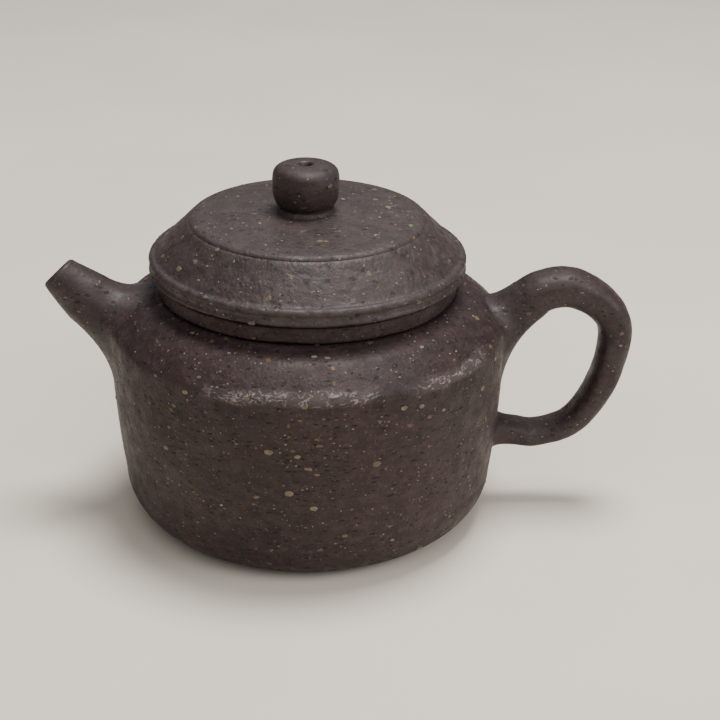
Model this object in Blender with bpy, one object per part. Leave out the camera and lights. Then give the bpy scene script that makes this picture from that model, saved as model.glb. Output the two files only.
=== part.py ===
"""Small drum-shaped yixing clay teapot with a lift-off lid, slab-built from separate pieces.

Units are metres. The origin is on the pot's axis at the table plane, +Z is up, the spout points to -X
and the handle to +X. Every piece that a potter joins with slip is its own closed solid, and
neighbouring pieces keep a joint gap of JOINT_GAP.
"""
import math

import bmesh
import bpy
from mathutils import Vector

MM = 0.001
JOINT_GAP = 0.3 * MM
TURN_SEGMENTS = 64
SECTION_POINTS = 20
ON_AXIS = 1e-7

# Body: a drum, drawn in a little towards a rounded foot.
BODY_RADIUS = 44.0 * MM
BELLY_HEIGHT = 42.0 * MM
FOOT_DRAW_IN = 2.2 * MM
FOOT_ROUNDING = 11.5 * MM
WALL_THICKNESS = 3.1 * MM
WALL_TOP = 44.7 * MM
BASE_RADIUS = 35.0 * MM
BASE_THICKNESS = 3.6 * MM
STANDING_RADIUS = BODY_RADIUS - FOOT_DRAW_IN - FOOT_ROUNDING

# Shoulder, neck and mouth.
MOUTH_BORE = 28.4 * MM
SHOULDER_TOP = 53.2 * MM
SHOULDER_UNDERSIDE = 49.8 * MM
NECK_RADIUS = 31.3 * MM
NECK_TOP = 57.7 * MM
MOUTH_RING_RADIUS = 32.9 * MM
MOUTH_RING_TOP = 57.2 * MM
MOUTH_RING_BOTTOM = SHOULDER_TOP + JOINT_GAP

# Lid: a bevelled ring round a let-in disc, a collar that drops into the neck, and a drum knob.
LID_SEAT = NECK_TOP + JOINT_GAP
LID_RADIUS = 34.85 * MM
LID_RING_TOP = 69.2 * MM
LID_DISC_RADIUS = 25.9 * MM
LID_DISC_EDGE = 70.0 * MM
LID_DISC_CROWN = 71.3 * MM
LID_DISC_UNDERSIDE = 67.0 * MM
LID_LEDGE_RADIUS = 22.0 * MM
COLLAR_OUTSIDE = 27.8 * MM
COLLAR_INSIDE = 25.3 * MM
COLLAR_BOTTOM = 50.6 * MM
VENT_RADIUS = 1.1 * MM
SEAT_RADIUS = 6.3 * MM
SEAT_TOP = 72.1 * MM
KNOB_RADIUS = 7.3 * MM
KNOB_FOOT_RADIUS = 5.8 * MM
KNOB_TOP = 81.7 * MM

# Spout: x, z and outer diameter in mm, from the tip down into the body; its bore follows the same line.
SPOUT_STATIONS = (
    (-54.9, 56.3, 8.5),
    (-52.2, 53.6, 10.4),
    (-49.5, 51.1, 11.9),
    (-46.7, 48.8, 13.0),
    (-44.0, 46.7, 14.6),
    (-41.0, 44.8, 18.0),
    (-38.0, 42.9, 23.0),
    (-33.0, 40.0, 27.0),
)
SPOUT_BORE_STATIONS = (
    (-58.0, 59.2, 5.6),
    (-54.9, 56.3, 5.8),
    (-49.5, 51.1, 7.0),
    (-44.4, 46.9, 8.2),
    (-40.4, 43.9, 8.6),
    (-37.2, 41.5, 8.8),
)
STRAINER_PLACE = (-40.4, 0.0, 44.4)
STRAINER_LEAN = 42.0
STRAINER_OUTSIDE = 6.4 * MM
STRAINER_INSIDE = 5.1 * MM
STRAINER_HOLE = 0.75 * MM
STRAINER_RINGS = ((0.0, 1), (28.0, 6), (54.0, 10))

# Handle: an ear whose centreline lies in the XZ plane; x, z, thickness and width in mm.
HANDLE_STATIONS = (
    (36.0, 38.0, 20.0, 13.0),
    (40.6, 42.6, 15.6, 12.4),
    (44.2, 46.6, 12.0, 11.4),
    (48.0, 50.0, 9.4, 10.6),
    (53.0, 52.5, 8.3, 10.2),
    (59.0, 52.7, 8.0, 10.0),
    (64.8, 50.0, 7.9, 9.8),
    (68.8, 44.6, 7.6, 9.6),
    (68.7, 36.4, 6.9, 9.3),
    (65.6, 26.8, 6.2, 9.0),
    (60.0, 19.6, 5.6, 8.7),
    (52.6, 17.0, 5.3, 8.4),
    (46.6, 17.6, 6.0, 8.8),
    (43.0, 18.3, 8.4, 10.0),
    (38.0, 19.2, 12.0, 12.0),
)
HANDLE_SQUARENESS = 3.2
HANDLE_STEPS = 3


def clear_scene():
    """Remove whatever the scene holds, so that the part is built on its own."""
    for item in list(bpy.data.objects):
        bpy.data.objects.remove(item, do_unlink=True)


def clay(name, colour, roughness):
    """A fired, unglazed clay."""
    material = bpy.data.materials.new(name)
    material.use_nodes = True
    shader = material.node_tree.nodes["Principled BSDF"]
    shader.inputs["Base Color"].default_value = (*colour, 1.0)
    shader.inputs["Roughness"].default_value = roughness
    shader.inputs["Metallic"].default_value = 0.0
    return material


def body_clay():
    return clay("body_clay", (0.050, 0.034, 0.030), 0.62)


def lid_clay():
    return clay("lid_clay", (0.072, 0.055, 0.050), 0.60)


def limb_clay():
    return clay("limb_clay", (0.048, 0.034, 0.032), 0.55)


def inner_clay():
    return clay("inner_clay", (0.058, 0.040, 0.035), 0.75)


def add_object(name, mesh, material):
    """Turn a bmesh into a named, smooth-shaded object with its normals facing out."""
    bmesh.ops.recalc_face_normals(mesh, faces=mesh.faces)
    data = bpy.data.meshes.new(name)
    mesh.to_mesh(data)
    mesh.free()
    data.shade_smooth()
    data.set_sharp_from_angle(angle=math.radians(35.0))
    item = bpy.data.objects.new(name, data)
    if material is not None:
        data.materials.append(material)
    bpy.context.collection.objects.link(item)
    return item


def ring_angles(count):
    return [2.0 * math.pi * step / count for step in range(count)]


def join_rings(mesh, ring, following):
    """Close the band between two rings of vertices; a ring on the axis is one repeated vertex."""
    count = len(ring)
    for step in range(count):
        after = (step + 1) % count
        corners = []
        for corner in (ring[step], ring[after], following[after], following[step]):
            if corner not in corners:
                corners.append(corner)
        if len(corners) > 2:
            mesh.faces.new(corners)


def turned(name, outline, material, segments=TURN_SEGMENTS):
    """Revolve a closed outline of (radius, height) points about the Z axis."""
    mesh = bmesh.new()
    rings = []
    for radius, height in outline:
        if radius < ON_AXIS:
            rings.append([mesh.verts.new((0.0, 0.0, height))] * segments)
        else:
            rings.append([
                mesh.verts.new((radius * math.cos(a), radius * math.sin(a), height))
                for a in ring_angles(segments)
            ])
    for ring, following in zip(rings, rings[1:] + rings[:1]):
        if ring[0] is not following[0] and not (len(set(ring)) == 1 and len(set(following)) == 1):
            join_rings(mesh, ring, following)
    return add_object(name, mesh, material)


def arc(centre, radius, start, end, steps):
    """Points on an arc in the (radius, height) plane, angles in degrees."""
    points = []
    for step in range(steps + 1):
        angle = math.radians(start + (end - start) * step / steps)
        points.append((centre[0] + radius * math.cos(angle), centre[1] + radius * math.sin(angle)))
    return points


def wall_radius(height):
    """Outer radius of the drum: widest at the belly, drawn in towards the foot."""
    drop = (BELLY_HEIGHT - height) / (BELLY_HEIGHT - FOOT_ROUNDING)
    return BODY_RADIUS - FOOT_DRAW_IN * drop * drop


def foot_arc_angle(radius):
    """Angle on the foot's rounding at which it reaches a radius, in degrees below level."""
    return -math.degrees(math.acos((radius - STANDING_RADIUS) / FOOT_ROUNDING))


def wall_face():
    """The drum's outer face above the foot's rounding, from low to high."""
    steps = 5
    heights = [FOOT_ROUNDING + (WALL_TOP - FOOT_ROUNDING) * step / steps for step in range(steps + 1)]
    return [(wall_radius(height), height) for height in heights]


def shoulder_face():
    """The shoulder from its rounded edge up to the neck: edge, hollow slope, soft ridge, neck."""
    edge_radius = 2.0 * MM
    bottom = WALL_TOP + JOINT_GAP
    centre = (wall_radius(bottom) - edge_radius, bottom)
    return arc(centre, edge_radius, 0.0, 48.0, 3) + [
        (41.4 * MM, 47.9 * MM),
        (39.5 * MM, 49.5 * MM),
        (38.0 * MM, 50.8 * MM),
        (36.9 * MM, 51.6 * MM),
        (35.4 * MM, 52.1 * MM),
        (34.2 * MM, 52.5 * MM),
        (33.4 * MM, SHOULDER_TOP),
    ]


def interior_corner():
    """Inside of the wall's top and the shoulder's underside, from the wall up to the mouth."""
    bottom = WALL_TOP + JOINT_GAP
    return [
        (wall_radius(bottom) - WALL_THICKNESS, bottom),
        (38.6 * MM, 47.8 * MM),
        (36.0 * MM, 49.4 * MM),
        (MOUTH_BORE, SHOULDER_UNDERSIDE),
    ]


def build_base_disc():
    start = foot_arc_angle(BASE_RADIUS)
    centre = (STANDING_RADIUS, FOOT_ROUNDING)
    outline = [(0.0, 0.0)] + arc(centre, FOOT_ROUNDING, -90.0, start, 3)
    outline += [(BASE_RADIUS, BASE_THICKNESS), (0.0, BASE_THICKNESS)]
    return turned("base_disc", outline, body_clay())


def build_body_wall():
    foot_inside = BASE_RADIUS + JOINT_GAP
    centre = (STANDING_RADIUS, FOOT_ROUNDING)
    outline = arc(centre, FOOT_ROUNDING, foot_arc_angle(foot_inside), 0.0, 5)
    outline += wall_face()[1:]
    outline += [(radius - WALL_THICKNESS, height) for radius, height in reversed(wall_face())]
    outline += [(37.6 * MM, 7.4 * MM), (foot_inside, 4.6 * MM)]
    return turned("body_wall", outline, body_clay())


def build_shoulder_disc():
    outline = shoulder_face() + [(MOUTH_BORE, SHOULDER_TOP)] + interior_corner()[::-1]
    return turned("shoulder_disc", outline, body_clay())


def build_neck_ring():
    chamfer = 0.4 * MM
    foot = SHOULDER_TOP + JOINT_GAP
    outline = [
        (NECK_RADIUS, foot),
        (NECK_RADIUS, NECK_TOP),
        (MOUTH_BORE + chamfer, NECK_TOP),
        (MOUTH_BORE, NECK_TOP - chamfer),
        (MOUTH_BORE, foot),
    ]
    return turned("neck_ring", outline, body_clay())


def build_mouth_ring():
    rounding = 0.5 * MM
    inside = NECK_RADIUS + JOINT_GAP
    outline = arc((MOUTH_RING_RADIUS - rounding, MOUTH_RING_BOTTOM + rounding), rounding, -90.0, 0.0, 2)
    outline += arc((MOUTH_RING_RADIUS - rounding, MOUTH_RING_TOP - rounding), rounding, 0.0, 90.0, 2)
    outline += [(inside, MOUTH_RING_TOP), (inside, MOUTH_RING_BOTTOM)]
    return turned("mouth_ring", outline, body_clay())


def lid_bulge():
    """The lid ring's outer face, from its lip up to the step round the disc."""
    lip_rounding = 0.7 * MM
    lip = arc((LID_RADIUS - lip_rounding, LID_SEAT + lip_rounding), lip_rounding, -90.0, 0.0, 2)
    return lip + [
        (34.8 * MM, 60.2 * MM),
        (34.4 * MM, 61.3 * MM),
        (33.5 * MM, 62.4 * MM),
        (31.0 * MM, 64.9 * MM),
        (28.5 * MM, 67.0 * MM),
        (LID_DISC_RADIUS + JOINT_GAP, LID_RING_TOP),
    ]


def build_lid_ring():
    ledge = LID_DISC_UNDERSIDE - JOINT_GAP
    outline = lid_bulge() + [
        (LID_DISC_RADIUS + JOINT_GAP, ledge),
        (LID_LEDGE_RADIUS, ledge),
        (23.4 * MM, 64.0 * MM),
        (24.8 * MM, 60.8 * MM),
        (COLLAR_INSIDE, LID_SEAT),
    ]
    return turned("lid_ring", outline, lid_clay())


def lid_disc_height(radius):
    """Top of the let-in disc: a shallow crown."""
    share = radius / LID_DISC_RADIUS
    return LID_DISC_CROWN - (LID_DISC_CROWN - LID_DISC_EDGE) * share * share


def build_lid_disc():
    radii = [VENT_RADIUS + (LID_DISC_RADIUS - 0.5 * MM - VENT_RADIUS) * step / 4 for step in range(5)]
    outline = [(radius, lid_disc_height(radius)) for radius in radii]
    outline += [
        (LID_DISC_RADIUS, LID_DISC_EDGE - 0.45 * MM),
        (LID_DISC_RADIUS, LID_DISC_UNDERSIDE),
        (VENT_RADIUS, LID_DISC_UNDERSIDE + 0.6 * MM),
    ]
    return turned("lid_disc", outline, lid_clay())


def build_lid_collar():
    chamfer = 0.5 * MM
    top = LID_SEAT - JOINT_GAP
    outline = [
        (COLLAR_OUTSIDE, top),
        (COLLAR_INSIDE, top),
        (COLLAR_INSIDE, COLLAR_BOTTOM),
        (COLLAR_OUTSIDE - chamfer, COLLAR_BOTTOM),
        (COLLAR_OUTSIDE, COLLAR_BOTTOM + chamfer),
    ]
    return turned("lid_collar", outline, inner_clay())


def build_knob_seat():
    """A low ring of slip that beds the knob on the disc."""
    segments = 32
    radii = (VENT_RADIUS, 3.5 * MM, SEAT_RADIUS)
    outline = [(radius, lid_disc_height(radius) + JOINT_GAP) for radius in radii]
    outline += [(SEAT_RADIUS - 0.3 * MM, SEAT_TOP), (VENT_RADIUS, SEAT_TOP)]
    return turned("knob_seat", outline, lid_clay(), segments)


def build_knob():
    """A drum knob with bulged sides, a soft top edge and the vent's funnel in the middle."""
    segments = 32
    foot = SEAT_TOP + JOINT_GAP
    outline = [
        (KNOB_FOOT_RADIUS - 0.2 * MM, foot),
        (KNOB_FOOT_RADIUS + 0.5 * MM, foot + 0.5 * MM),
        (7.0 * MM, 74.4 * MM),
        (KNOB_RADIUS, 76.8 * MM),
        (7.25 * MM, 79.0 * MM),
        (6.75 * MM, 80.5 * MM),
        (5.2 * MM, 81.4 * MM),
        (2.6 * MM, KNOB_TOP),
        (1.7 * MM, 81.2 * MM),
        (VENT_RADIUS, 80.2 * MM),
        (VENT_RADIUS, foot),
    ]
    return turned("knob", outline, lid_clay(), segments)


def smooth_path(stations, steps):
    """Catmull-Rom points through the stations, every number of a station taken along."""
    rows = [Vector(station) for station in stations]
    rows = [2.0 * rows[0] - rows[1]] + rows + [2.0 * rows[-1] - rows[-2]]
    path = []
    for before, start, end, after in zip(rows, rows[1:], rows[2:], rows[3:]):
        for step in range(steps):
            t = step / steps
            path.append(0.5 * (
                2.0 * start
                + (end - before) * t
                + (2.0 * before - 5.0 * start + 4.0 * end - after) * t * t
                + (3.0 * start - before - 3.0 * end + after) * t * t * t
            ))
    path.append(rows[-2])
    return path


def section(thickness, width, squareness):
    """A superellipse round the origin: an ellipse at squareness 2, a soft rectangle above it."""
    points = []
    for angle in ring_angles(SECTION_POINTS):
        across = math.copysign(abs(math.cos(angle)) ** (2.0 / squareness), math.cos(angle))
        along = math.copysign(abs(math.sin(angle)) ** (2.0 / squareness), math.sin(angle))
        points.append((across * thickness / 2.0, along * width / 2.0))
    return points


def swept(name, path, squareness, material):
    """Skin sections along a path in the XZ plane. A path point is x, z, thickness, width in mm."""
    mesh = bmesh.new()
    rings = []
    for index, point in enumerate(path):
        ahead = path[min(index + 1, len(path) - 1)]
        behind = path[max(index - 1, 0)]
        run = math.hypot(ahead[0] - behind[0], ahead[1] - behind[1])
        normal = (-(ahead[1] - behind[1]) / run, (ahead[0] - behind[0]) / run)
        ring = []
        for across, along in section(point[2], point[3], squareness):
            place = (point[0] + normal[0] * across, along, point[1] + normal[1] * across)
            ring.append(mesh.verts.new([value * MM for value in place]))
        rings.append(ring)
    for ring, following in zip(rings, rings[1:]):
        join_rings(mesh, ring, following)
    mesh.faces.new(rings[0])
    mesh.faces.new(reversed(rings[-1]))
    return add_object(name, mesh, material)


def round_stations(stations):
    """Give stations of a round limb a width equal to their thickness."""
    return [(x, z, size, size) for x, z, size in stations]


def as_cutter(item):
    item.hide_render = True
    item.display_type = "WIRE"
    return item


def cut(item, cutter, operation="DIFFERENCE"):
    modifier = item.modifiers.new(cutter.name, "BOOLEAN")
    modifier.operation = operation
    modifier.object = cutter
    modifier.solver = "EXACT"


def build_pot_envelope():
    """A cutter with the pot's outside, one joint gap larger, that trims the limbs' root ends."""
    centre = (STANDING_RADIUS, FOOT_ROUNDING)
    face = arc(centre, FOOT_ROUNDING, -90.0, 0.0, 5) + wall_face()[1:] + shoulder_face()
    outline = [(0.0, 0.0)]
    for radius, height in face:
        lift = JOINT_GAP if height > WALL_TOP else 0.0
        outline.append((radius + JOINT_GAP, height + lift))
    outline += [(MOUTH_RING_RADIUS + JOINT_GAP, SHOULDER_TOP + JOINT_GAP)]
    outline += [(MOUTH_RING_RADIUS + JOINT_GAP, MOUTH_RING_TOP), (0.0, MOUTH_RING_TOP)]
    return as_cutter(turned("pot_envelope", outline, None))


def build_spout_bore():
    path = smooth_path(round_stations(SPOUT_BORE_STATIONS), 2)
    return as_cutter(swept("spout_bore", path, 2.0, None))


def build_spout(envelope, bore):
    path = smooth_path(round_stations(SPOUT_STATIONS), 2)
    spout = swept("spout", path, 2.0, limb_clay())
    cut(spout, envelope)
    cut(spout, bore)
    return spout


def build_handle(envelope):
    handle = swept("handle", smooth_path(HANDLE_STATIONS, HANDLE_STEPS), HANDLE_SQUARENESS, limb_clay())
    cut(handle, envelope)
    return handle


def strainer_shell():
    """A hollow ball cap: outer and inner domes joined by a flat rim, its pole along +X."""
    mesh = bmesh.new()
    segments = 24
    rim = 92.0
    outline = arc((0.0, 0.0), STRAINER_OUTSIDE, 0.0, rim, 7)
    outline += arc((0.0, 0.0), STRAINER_INSIDE, rim, 0.0, 6)
    rings = []
    for along, across in outline:
        if across < ON_AXIS:
            rings.append([mesh.verts.new((along, 0.0, 0.0))] * segments)
        else:
            rings.append([
                mesh.verts.new((along, across * math.cos(a), across * math.sin(a)))
                for a in ring_angles(segments)
            ])
    for ring, following in zip(rings, rings[1:]):
        join_rings(mesh, ring, following)
    return add_object("spout_strainer", mesh, inner_clay())


def strainer_holes():
    """Drills that point out of the ball cap's centre, in rings round its pole."""
    mesh = bmesh.new()
    for tilt, count in STRAINER_RINGS:
        for turn in ring_angles(count):
            lean = math.radians(tilt)
            aim = Vector((math.cos(lean), math.sin(lean) * math.cos(turn), math.sin(lean) * math.sin(turn)))
            middle = aim * (STRAINER_OUTSIDE + STRAINER_INSIDE) / 2.0
            frame = aim.to_track_quat("Z", "Y").to_matrix().to_4x4()
            frame.translation = middle
            bmesh.ops.create_cone(
                mesh, cap_ends=True, segments=8, radius1=STRAINER_HOLE, radius2=STRAINER_HOLE,
                depth=4.0 * MM, matrix=frame,
            )
    return as_cutter(add_object("strainer_holes", mesh, None))


def build_interior():
    """A cutter with the pot's inside round the spout, one joint gap smaller."""
    outline = [(0.0, FOOT_ROUNDING)]
    outline += [(radius - WALL_THICKNESS - JOINT_GAP, height) for radius, height in wall_face()]
    outline += [(radius - JOINT_GAP, height - JOINT_GAP) for radius, height in interior_corner()]
    outline += [(0.0, SHOULDER_UNDERSIDE - JOINT_GAP)]
    return as_cutter(turned("pot_interior", outline, None))


def build_spout_strainer():
    """The perforated ball cap that stands over the spout's hole, in the corner under the shoulder."""
    strainer = strainer_shell()
    holes = strainer_holes()
    for item in (strainer, holes):
        item.location = Vector(STRAINER_PLACE) * MM
        item.rotation_euler = (0.0, math.radians(STRAINER_LEAN), 0.0)
    cut(strainer, holes)
    cut(strainer, build_interior(), "INTERSECT")
    return strainer


def build_teapot():
    clear_scene()
    envelope = build_pot_envelope()
    bore = build_spout_bore()
    build_base_disc()
    wall = build_body_wall()
    cut(wall, bore)
    cut(build_shoulder_disc(), bore)
    build_neck_ring()
    build_mouth_ring()
    build_spout(envelope, bore)
    build_spout_strainer()
    build_handle(envelope)
    build_lid_collar()
    build_lid_ring()
    build_lid_disc()
    build_knob_seat()
    build_knob()


build_teapot()
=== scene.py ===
# %% [markdown]
# # A small drum-shaped clay teapot
# This file dresses a finished model of an unglazed clay teapot. The model gives each piece its place
# and its size. Here each piece gets the surface a potter's hands leave: slightly uneven walls, a torn
# crest where two sheets of clay meet, and the grains of coarser clay that show in the fired body. The
# crest's pale colour is partly a painted highlight.

# %% Load the teapot
import math

import bmesh
import bpy
from mathutils import Matrix, Vector, noise
from mathutils.bvhtree import BVHTree


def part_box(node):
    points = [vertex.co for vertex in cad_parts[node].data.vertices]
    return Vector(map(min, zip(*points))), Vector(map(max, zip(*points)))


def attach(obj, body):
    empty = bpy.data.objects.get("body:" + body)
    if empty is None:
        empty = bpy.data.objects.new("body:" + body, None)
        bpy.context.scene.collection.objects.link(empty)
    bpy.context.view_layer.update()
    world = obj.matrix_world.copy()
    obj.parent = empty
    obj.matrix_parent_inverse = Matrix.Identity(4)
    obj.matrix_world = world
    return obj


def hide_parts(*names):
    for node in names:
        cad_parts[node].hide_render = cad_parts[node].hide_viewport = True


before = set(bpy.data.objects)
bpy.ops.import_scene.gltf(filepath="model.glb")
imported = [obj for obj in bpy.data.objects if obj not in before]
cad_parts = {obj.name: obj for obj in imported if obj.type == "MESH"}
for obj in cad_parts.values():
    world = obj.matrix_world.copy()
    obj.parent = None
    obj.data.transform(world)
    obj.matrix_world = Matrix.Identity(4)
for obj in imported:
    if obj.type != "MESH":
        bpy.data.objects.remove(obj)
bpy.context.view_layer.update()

MM = 0.001
print("nodes:", ", ".join(sorted(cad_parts)))


# %% Helpers for node trees
def start_tree(name, kind, inputs, outputs):
    """A new node group with named sockets; returns it with its input and output nodes."""
    tree = bpy.data.node_groups.new(name, kind)
    for label, socket, value in inputs:
        item = tree.interface.new_socket(label, in_out="INPUT", socket_type=socket)
        if value is not None:
            item.default_value = value
    for label, socket in outputs:
        tree.interface.new_socket(label, in_out="OUTPUT", socket_type=socket)
    return tree, tree.nodes.new("NodeGroupInput").outputs, tree.nodes.new("NodeGroupOutput").inputs


def node(tree, kind, inputs, **settings):
    """A node with its settings made and its inputs set to values or linked to other outputs."""
    made = tree.nodes.new(kind)
    for key, value in settings.items():
        setattr(made, key, value)
    for key, value in inputs.items():
        if isinstance(value, bpy.types.NodeSocket):
            tree.links.new(value, made.inputs[key])
        else:
            made.inputs[key].default_value = value
    return made


def calc(tree, operation, *terms):
    return node(tree, "ShaderNodeMath", dict(enumerate(terms)), operation=operation).outputs[0]


def vector_calc(tree, operation, *terms):
    return node(tree, "ShaderNodeVectorMath", dict(enumerate(terms)), operation=operation).outputs[0]


def scaled(tree, vector, amount):
    return node(tree, "ShaderNodeVectorMath", {0: vector, "Scale": amount}, operation="SCALE").outputs[0]


def remap(tree, value, low, high, to_low=0.0, to_high=1.0):
    """A smooth step from one range to another."""
    made = node(tree, "ShaderNodeMapRange", {"Value": value, "From Min": low, "From Max": high,
                "To Min": to_low, "To Max": to_high}, interpolation_type="SMOOTHSTEP")
    return made.outputs["Result"]


def fog(tree, vector, scale, detail=2.0, distortion=0.0):
    """A noise texture's grey output."""
    made = node(tree, "ShaderNodeTexNoise", {"Vector": vector, "Scale": scale, "Detail": detail,
                "Distortion": distortion})
    return made.outputs[0]


print("helpers ready")


# %% [markdown]
# ## Turning clay with a rule
# The drum, the shoulder, the rings and the lid are all turned shapes: one outline carried round the
# pot's axis. A Screw modifier could do that, but a node tree can also add the hand's unevenness. The
# unevenness depends only on the place in space, so the wall and the shoulder, which have the same
# amount of it, stay flush along their joint.

# %% The turned clay tree
CREST_HEIGHT = 46.0 * MM


def torn_crest_and_highlight_mask(tree, place):
    """Where the crest of the shoulder is torn: a narrow band of height, broken into patches. The same
    mask lays the crest's pale colour, which is partly a painted highlight.
    """
    parts = node(tree, "ShaderNodeSeparateXYZ", {0: place}).outputs
    height = parts[2]
    wander = calc(tree, "MULTIPLY", calc(tree, "SUBTRACT", fog(tree, place, 120.0, 1.0), 0.5), 2.2 * MM)
    crest_height = calc(tree, "ADD", wander, CREST_HEIGHT)
    away = calc(tree, "ABSOLUTE", calc(tree, "SUBTRACT", height, crest_height))
    band = remap(tree, away, 0.3 * MM, 1.9 * MM, 1.0, 0.0)
    wiped = calc(tree, "MULTIPLY", remap(tree, parts[0], -27.0 * MM, -13.0 * MM),
                 remap(tree, parts[0], 34.0 * MM, 39.0 * MM, 1.0, 0.0))
    lean = remap(tree, parts[0], -4.0 * MM, 16.0 * MM, 0.16, 0.0)
    patches = remap(tree, calc(tree, "ADD", fog(tree, place, 70.0, 2.0), lean), 0.36, 0.62)
    drawn = vector_calc(tree, "MULTIPLY", place, (1.0, 1.0, 2.2))
    vein = calc(tree, "ABSOLUTE", calc(tree, "SUBTRACT", fog(tree, drawn, 330.0, 6.0, 0.6), 0.5))
    strokes = remap(tree, vein, 0.004, 0.060, 1.0, 0.0)
    broken = remap(tree, fog(tree, place, 1500.0, 3.0), 0.36, 0.58)
    smeared = calc(tree, "MULTIPLY_ADD", calc(tree, "MULTIPLY", strokes, broken), 0.84, 0.16)
    return calc(tree, "MULTIPLY", calc(tree, "MULTIPLY", band, calc(tree, "MULTIPLY", patches, wiped)),
                smeared)


def build_turned_tree():
    tree, take, give = start_tree("Turned clay", "GeometryNodeTree", [
        ("Outline", "NodeSocketGeometry", None), ("Segments", "NodeSocketInt", 256),
        ("Unevenness", "NodeSocketFloat", 0.0), ("Pitting", "NodeSocketFloat", 0.0),
        ("Tearing", "NodeSocketFloat", 0.0), ("Waviness", "NodeSocketFloat", 0.0),
        ("Clay", "NodeSocketMaterial", None),
    ], [("Turned", "NodeSocketGeometry")])
    size = node(tree, "GeometryNodeAttributeDomainSize", {0: take["Outline"]}, component="MESH")
    count = size.outputs["Point Count"]
    columns = calc(tree, "ADD", take["Segments"], 1.0)
    grid = node(tree, "GeometryNodeMeshGrid", {"Size X": 1.0, "Size Y": 1.0, "Vertices X": columns,
                "Vertices Y": count})
    index = node(tree, "GeometryNodeInputIndex", {}).outputs[0]
    column = calc(tree, "FLOOR", calc(tree, "DIVIDE", calc(tree, "ADD", index, 0.5), count))
    row = calc(tree, "SUBTRACT", index, calc(tree, "MULTIPLY", column, count))
    place = node(tree, "GeometryNodeInputPosition", {}).outputs[0]
    sample = node(tree, "GeometryNodeSampleIndex", {"Geometry": take["Outline"]},
                  data_type="FLOAT_VECTOR", domain="POINT")
    tree.links.new(place, sample.inputs["Value"])
    tree.links.new(calc(tree, "ADD", row, 0.25), sample.inputs["Index"])
    parts = node(tree, "ShaderNodeSeparateXYZ", {0: sample.outputs[0]}).outputs
    turn = calc(tree, "DIVIDE", calc(tree, "MULTIPLY", column, 2.0 * math.pi), take["Segments"])
    across = calc(tree, "COSINE", turn)
    along = calc(tree, "SINE", turn)
    outward = node(tree, "ShaderNodeCombineXYZ", {0: across, 1: along, 2: 0.0}).outputs[0]
    lifted = node(tree, "ShaderNodeCombineXYZ", {2: parts[2]}).outputs[0]
    turned_place = vector_calc(tree, "ADD", scaled(tree, outward, parts[0]), lifted)
    shaped = node(tree, "GeometryNodeSetPosition", {"Geometry": grid.outputs[0],
                  "Position": turned_place})
    closed = node(tree, "GeometryNodeMergeByDistance", {"Geometry": shaped.outputs[0],
                  "Distance": 0.001 * MM})
    here = node(tree, "GeometryNodeInputPosition", {}).outputs[0]
    flat = vector_calc(tree, "MULTIPLY", here, (1.0, 1.0, 0.0))
    radial = vector_calc(tree, "NORMALIZE", flat)
    broad = calc(tree, "SUBTRACT", fog(tree, here, 26.0, 1.0), 0.5)
    middling = calc(tree, "SUBTRACT", fog(tree, here, 170.0, 2.0), 0.5)
    sway = calc(tree, "ADD", calc(tree, "MULTIPLY", broad, 2.4), calc(tree, "MULTIPLY", middling, 0.42))
    sway = calc(tree, "MULTIPLY", sway, take["Unevenness"])
    pits = remap(tree, fog(tree, here, 620.0, 3.0), 0.56, 0.68)
    rough = calc(tree, "MULTIPLY", calc(tree, "MULTIPLY", pits, take["Pitting"]), -1.0)
    torn = calc(tree, "MULTIPLY", torn_crest_and_highlight_mask(tree, here), take["Tearing"])
    radius = node(tree, "ShaderNodeVectorMath", {0: flat}, operation="LENGTH").outputs["Value"]
    near_axis = remap(tree, radius, 1.0 * MM, 5.0 * MM)
    push = calc(tree, "MULTIPLY", calc(tree, "ADD", calc(tree, "ADD", sway, rough), torn), near_axis)
    ripple = calc(tree, "SUBTRACT", fog(tree, here, 75.0, 1.0), 0.5)
    wave = calc(tree, "MULTIPLY", ripple, take["Waviness"])
    lift = node(tree, "ShaderNodeCombineXYZ", {2: wave}).outputs[0]
    moved = node(tree, "GeometryNodeSetPosition", {"Geometry": closed.outputs[0],
                 "Offset": vector_calc(tree, "ADD", scaled(tree, radial, push), lift)})
    smooth = node(tree, "GeometryNodeSetShadeSmooth", {"Geometry": moved.outputs[0]})
    real = node(tree, "GeometryNodeRealizeInstances", {0: smooth.outputs[0]})
    clothed = node(tree, "GeometryNodeSetMaterial", {"Geometry": real.outputs[0],
                   "Material": take["Clay"]})
    tree.links.new(clothed.outputs[0], give["Turned"])
    return tree


TURNED = build_turned_tree()
print("turned clay tree:", len(TURNED.nodes), "nodes")


# %% Run a tree on an object and keep the plain mesh
def set_inputs(modifier, values):
    """Set a node modifier's inputs by their identifiers."""
    names = {item.name: item.identifier for item in modifier.node_group.interface.items_tree
             if getattr(item, "in_out", "") == "INPUT"}
    for name, value in values.items():
        modifier[names[name]] = value


def keep_result(piece, tidy=True):
    """Replace the object's mesh by what its modifiers make, and drop the modifiers."""
    bpy.context.view_layer.update()
    shape = piece.evaluated_get(bpy.context.evaluated_depsgraph_get())
    made = bpy.data.meshes.new_from_object(shape)
    made.name = piece.name
    piece.modifiers.clear()
    old, piece.data = piece.data, made
    bpy.data.meshes.remove(old)
    if tidy:
        work = bmesh.new()
        work.from_mesh(made)
        bmesh.ops.recalc_face_normals(work, faces=work.faces)
        work.to_mesh(made)
        work.free()
    return piece


def new_piece(name, vertices, faces=()):
    mesh = bpy.data.meshes.new(name)
    mesh.from_pydata(vertices, [], faces)
    piece = bpy.data.objects.new(name, mesh)
    bpy.context.collection.objects.link(piece)
    return piece


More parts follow.
